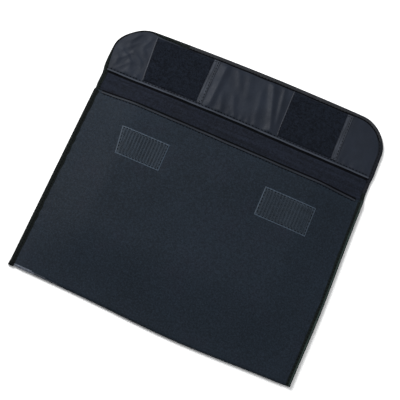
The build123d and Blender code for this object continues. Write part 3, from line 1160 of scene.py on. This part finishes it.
class SAFEBAG_OT_hook_patches(bpy.types.Operator):
    """Sew the two hook patches on the front panel"""

    bl_idname = "safe_bag.hook_patches"
    bl_label = "Make Hook Patches"

    def execute(self, context):
        for side, hand in SIDES:
            low, high = hook_boxes[hand]
            width, height = high.x - low.x, high.y - low.y
            across_it, up_it = patch_spots(low, high, 1.1 * MM)
            # the left edge is cut in towards the bottom
            slant, turn = HOOK_SHAPES[hand]
            cut = slant * (1 - up_it / height)
            x = low.x + cut + (width - cut) * across_it / width
            x, y = turned(x, low.y + up_it, low, high, turn)
            inset = np.minimum.reduce([across_it, width - across_it, up_it, height - up_it])
            edge = HOOK_BASE * ramp(inset, -0.35, 0.7)
            dip = 0.22 * MM * ridge(inset - 1.7 * MM, 0.8 * MM)
            swell = 0.18 * MM * np.sin(across_it * 190 + side) * ramp(inset, 0, 6)
            top = on_front(x, y, np.maximum(edge - dip + swell, 0.12 * MM))
            under = on_front(x, y, 0.03 * MM)
            tape = sheet_between(hand + "_hook_base", top, under, np.stack([across_it, up_it], -1))
            dress(tape, "hook_ground", "hook_tape", hand + "_hook_patch")
            # the bare border is painted lighter: painted highlight along the patch's edge
            paint_where(tape, "hook_edge", inset, lambda mean: mean < 1.2 * MM)
            hooks = self.grow(hand, low, high)
            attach(tape, "pouch")
            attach(hooks, "pouch")
        return {"FINISHED"}

    def grow(self, hand, low, high):
        """Rows of bent nylon hooks, leaning left and right in turn."""
        slant, turn = HOOK_SHAPES[hand]
        draw = np.random.default_rng(settings().seed + len(hand))
        lines = []
        columns = np.arange(low.x + HOOK_BORDER, high.x - HOOK_BORDER, settings().sizes.hook_pitch)
        for number, at in enumerate(columns):
            odd = number % 2
            bow = np.array([0, 0.05, 0.25, 0.62, 0.80]) * MM * (1 if odd else -1)
            for up in np.arange(low.y + HOOK_BORDER, high.y - HOOK_BORDER, 1.25 * MM):
                left = low.x + slant * (1 - (up - low.y) / (high.y - low.y)) + HOOK_BORDER
                if at < left:
                    continue
                x = at + draw.normal(0, 0.06 * MM) + bow
                y = up + draw.normal(0, 0.08 * MM) + odd * 0.6 * MM
                y = y + np.array([0, 0, 0.04, 0.08, 0.1]) * MM
                rise = np.array([-0.15, 0.35, 0.68, 0.74, 0.48]) * MM + HOOK_BASE
                lines.append(on_front(*turned(x, y, low, high, turn), rise))
        hooks = tubes(hand + "_hooks", lines, np.array([0.20, 0.17, 0.15, 0.13, 0.11]) * MM, sides=4)
        return dress(hooks, "hook_nylon", "hook_tape")


class SAFEBAG_OT_loop_patches(bpy.types.Operator):
    """Sew the two loop patches on the facing"""

    bl_idname = "safe_bag.loop_patches"
    bl_label = "Make Loop Patches"

    def execute(self, context):
        for side, hand in SIDES:
            low, high = loop_boxes[hand]
            width, height = high.x - low.x, high.y - low.y
            across_it, up_it = patch_spots(low, high, 1.0 * MM)
            x, y = self.place(hand, across_it, up_it)
            selvedge = width - SELVEDGE
            pile = ramp(selvedge - across_it, 0, 1.2) * ramp(across_it, 0.9, 1.0)
            pile = pile * ramp(up_it, 0, 1.0) * ramp(height - up_it, 0, 1.0)
            mottle = 0.5 + 0.25 * np.sin(across_it * 330 + 2 * np.sin(up_it * 210))
            mottle = mottle + 0.25 * np.sin(up_it * 410 + 2 * np.sin(across_it * 170 + side))
            # the selvedge is turned up a little, so it catches the light
            lip = ridge(across_it - (width - 4.4 * MM), 1.0 * MM)
            lip = lip + 0.6 * ridge(across_it - (width - 1.7 * MM), 1.2 * MM)
            left_lip = ridge(across_it - 0.6 * MM, 0.6 * MM)
            h = 0.50 + (0.55 + 0.25 * mottle) * pile + 0.55 * lip + 0.35 * left_lip
            top = on_rear(x, y, ON_FACING + h * MM)
            under = on_rear(x, y, ON_FACING + 0.03 * MM)
            tape = sheet_between(hand + "_loop_base", top, under, np.stack([across_it, up_it], -1))
            dress(tape, "loop_pile", "loop_tape", hand + "_loop_patch")
            paint_where(tape, "selvedge", across_it, lambda mean: mean > selvedge or mean < 1.0 * MM)
            loops = self.grow(hand, selvedge, height)
            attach(tape, "flap")
            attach(loops, "flap")
        return {"FINISHED"}

    def place(self, hand, across_it, up_it):
        """Where a spot on a patch lies: its left edge leans out towards the top."""
        low, high = loop_boxes[hand]
        width, height = high.x - low.x, high.y - low.y
        lean = 0.6 * MM - LOOP_SLANTS[hand] * up_it / height
        x = low.x + across_it + lean * (1 - across_it / width)
        return x, low.y + up_it * (1 + LOOP_TUCK / height)

    def grow(self, hand, selvedge, height):
        """Brushed loops of pile, in no order."""
        pitch = settings().sizes.loop_pitch
        draw = np.random.default_rng(settings().seed + 20 + len(hand))
        t = np.linspace(0, math.pi, 6)
        lines = []
        for across_it in np.arange(1.6 * MM, selvedge - 0.6 * MM, pitch):
            for up_it in np.arange(1.0 * MM, height - 1.0 * MM, pitch):
                x, y = self.place(hand, across_it, up_it)
                x += draw.uniform(-0.5, 0.5) * pitch
                y += draw.uniform(-0.5, 0.5) * pitch
                way = draw.uniform(0, 2 * math.pi)
                reach = draw.uniform(0.35, 0.75) * MM * np.cos(t)
                rise = draw.uniform(0.45, 0.75) * MM * np.sin(t)
                x, y = x - reach * math.cos(way), y - reach * math.sin(way)
                lines.append(on_rear(x, y, ON_FACING + 0.8 * MM + rise))
        loops = tubes(hand + "_loops", lines, np.full(6, 0.085 * MM), sides=3)
        return dress(loops, "loop_pile", "loop_tape")


# ---------------- stitching


def straight(start, end, count=200):
    """Points along a straight line of the flat pattern."""
    start, end = np.array(start), np.array(end)
    return start + np.linspace(0, 1, count)[:, None] * (end - start)


def box_line(low, high, inset, slant=0.0):
    """Closed line inside a patch's edge, from its lower left corner."""
    left, right = low.x + inset, high.x - inset
    bottom, top = low.y + inset, high.y - inset
    corners = [(left + slant, bottom), (right, bottom), (right, top), (left, top), (left + slant, bottom)]
    sides = [straight(a, b, max(2, int(math.dist(a, b) / MM))) for a, b in zip(corners, corners[1:])]
    return np.concatenate(sides)


class SAFEBAG_OT_stitching(bpy.types.Operator):
    """Sew every seam with separate stitches"""

    bl_idname = "safe_bag.stitching"
    bl_label = "Make Stitching"

    def execute(self, context):
        seed = settings().seed + 40
        tape_line = TAPE_STITCH * TAPE_W
        on_seam = raised(on_rear, 2 * WALL + TAPE_T)
        on_hooks = raised(on_front, 0.42 * MM)
        on_loops = raised(on_rear, ON_FACING + 0.75 * MM)
        on_band = raised(on_rear, WALL + TAPE_T)
        for side, hand in SIDES:
            x = side * (HALF - tape_line)
            line = straight((x, FOLD_Y + 1 * MM), (x, MOUTH_Y - 1 * MM))
            self.sew(hand + "_side_stitches", line, on_seam, seed, "pouch", hand + "_side_stitching")
            line = box_line(*hook_boxes[hand], 1.7 * MM, HOOK_SHAPES[hand][0])
            self.sew(hand + "_hook_stitches", line, on_hooks, seed + 1, "pouch", hand + "_hook_stitching")
            line = box_line(*loop_boxes[hand], 1.4 * MM)
            self.sew(hand + "_loop_stitches", line, on_loops, seed + 2, "flap", hand + "_loop_stitching",
                     0.8)
            line = straight((x, SEAM_END_Y + 0.5 * MM), (x, MID_BAND_Y))
            band = stitches(hand + "_band_stitches", line, on_band, seed + 3)
            dress(band, "sewing_thread", "thread", "band_stitching")
            bend_low(band)
        y = MOUTH_Y - MOUTH_STITCH
        line = straight((mouth_low.x + 1.5 * MM, y), (mouth_high.x - 1.5 * MM, y))
        self.sew("mouth_stitches", line, lambda x, y, h: on_front(x, y, h + mouth_dip(x, y)),
                 seed + 4, "pouch", "mouth_stitching")
        y = hem_high.y + 1.0 * MM
        line = straight((facing_low.x + TAPE_W, y), (facing_high.x - TAPE_W, y))
        self.sew("facing_stitches", line,
                 lambda x, y, h: on_rear(x, y, h + ON_FACING + facing_relief(x, y)),
                 seed + 5, "flap", "facing_stitching")
        edge, inward = flap_edge(CREASE_B.y + 3 * MM)
        line = edge + inward * (tape_line * flap_tape_share(edge))[:, None]
        self.sew("flap_tape_stitches", line, raised(on_rear, ON_FACING + TAPE_T),
                 seed + 6, "flap", "flap_binding_stitching")
        return {"FINISHED"}

    def sew(self, name, line, surface, seed, body, node, thread=1.0):
        row = stitches(name, line, surface, seed, thread)
        dress(row, "sewing_thread", "thread", node)
        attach(row, body)


# ---------------- stage


class SAFEBAG_OT_stage(bpy.types.Operator):
    """Set up the pale floor, the soft lights and the camera"""

    bl_idname = "safe_bag.stage"
    bl_label = "Make Stage"

    def execute(self, context):
        scene = context.scene
        stage = settings().stage
        self.floor()
        self.sky(scene, stage.sky)
        self.lamp("key_light", (-0.75, 0.50, 0.95), 0.80, stage.key)
        self.lamp("fill_light", (1.25, 0.1, 1.2), 1.5, stage.fill)
        data = bpy.data.cameras.new("camera")
        data.lens = stage.lens
        data.clip_start = 0.01
        camera = bpy.data.objects.new("camera", data)
        place = Vector(stage.camera_place)
        look = (Vector(stage.camera_target) - place).to_track_quat("-Z", "Y")
        camera.rotation_mode = "QUATERNION"
        camera.rotation_quaternion = look @ Quaternion((0, 0, 1), stage.camera_roll)
        camera.location = place
        scene.collection.objects.link(camera)
        scene.camera = camera
        scene.view_settings.view_transform = "Standard"
        return {"FINISHED"}

    def floor(self):
        half = 3.0
        drop = -0.05 * MM
        corners = [(-half, -half, drop), (half, -half, drop), (half, half, drop), (-half, half, drop)]
        mesh = bpy.data.meshes.new("floor")
        mesh.from_pydata(corners, [], [(0, 1, 2, 3)])
        floor = bpy.data.objects.new("floor", mesh)
        bpy.context.scene.collection.objects.link(floor)
        paper = Shader("floor_paper")
        grain = paper.noise(paper.body(), 300.0, 3.0)
        paper.set(Base_Color=paper.mix(grain, (0.90, 0.90, 0.90), (0.94, 0.94, 0.94)))
        paper.set(Roughness=0.9, Specular_IOR_Level=0.1)
        mesh.materials.append(paper.material)

    def sky(self, scene, strength):
        world = bpy.data.worlds.new("surroundings")
        world.use_nodes = True
        background = world.node_tree.nodes["Background"]
        background.inputs["Color"].default_value = (0.97, 0.985, 1.0, 1)
        background.inputs["Strength"].default_value = strength
        scene.world = world

    def lamp(self, name, place, size, power):
        data = bpy.data.lights.new(name, "AREA")
        data.shape = "DISK"
        data.size = size
        data.energy = power
        lamp = bpy.data.objects.new(name, data)
        lamp.location = place
        lamp.rotation_euler = (-Vector(place)).to_track_quat("-Z", "Y").to_euler()
        bpy.context.scene.collection.objects.link(lamp)


# ---------------- panel and running

STEPS = (
    SAFEBAG_OT_walls,
    SAFEBAG_OT_side_bindings,
    SAFEBAG_OT_flap_binding,
    SAFEBAG_OT_mouth_binding,
    SAFEBAG_OT_facing,
    SAFEBAG_OT_hook_patches,
    SAFEBAG_OT_loop_patches,
    SAFEBAG_OT_stitching,
    SAFEBAG_OT_stage,
)


class SAFEBAG_PT_panel(bpy.types.Panel):
    """Lists the bag's sizes, colours and steps"""

    bl_idname = "SAFEBAG_PT_panel"
    bl_label = "Safe Bag"
    bl_space_type = "VIEW_3D"
    bl_region_type = "UI"
    bl_category = "Safe Bag"

    def draw(self, context):
        layout = self.layout
        bag = context.scene.safe_bag
        for group in (bag.sizes, bag.colours, bag.stage):
            box = layout.box()
            for name in group.__annotations__:
                box.prop(group, name)
        layout.prop(bag, "seed")
        for step in STEPS:
            layout.operator(step.bl_idname)


CLASSES = (BagSizes, BagColours, StageSettings, BagSettings, *STEPS, SAFEBAG_PT_panel)


def register():
    for cls in CLASSES:
        bpy.utils.register_class(cls)
    bpy.types.Scene.safe_bag = PointerProperty(type=BagSettings)


def unregister():
    del bpy.types.Scene.safe_bag
    for cls in reversed(CLASSES):
        bpy.utils.unregister_class(cls)


def main():
    register()
    for step in STEPS:
        group, name = step.bl_idname.split(".")
        getattr(getattr(bpy.ops, group), name)()


if __name__ == "__main__":
    main()
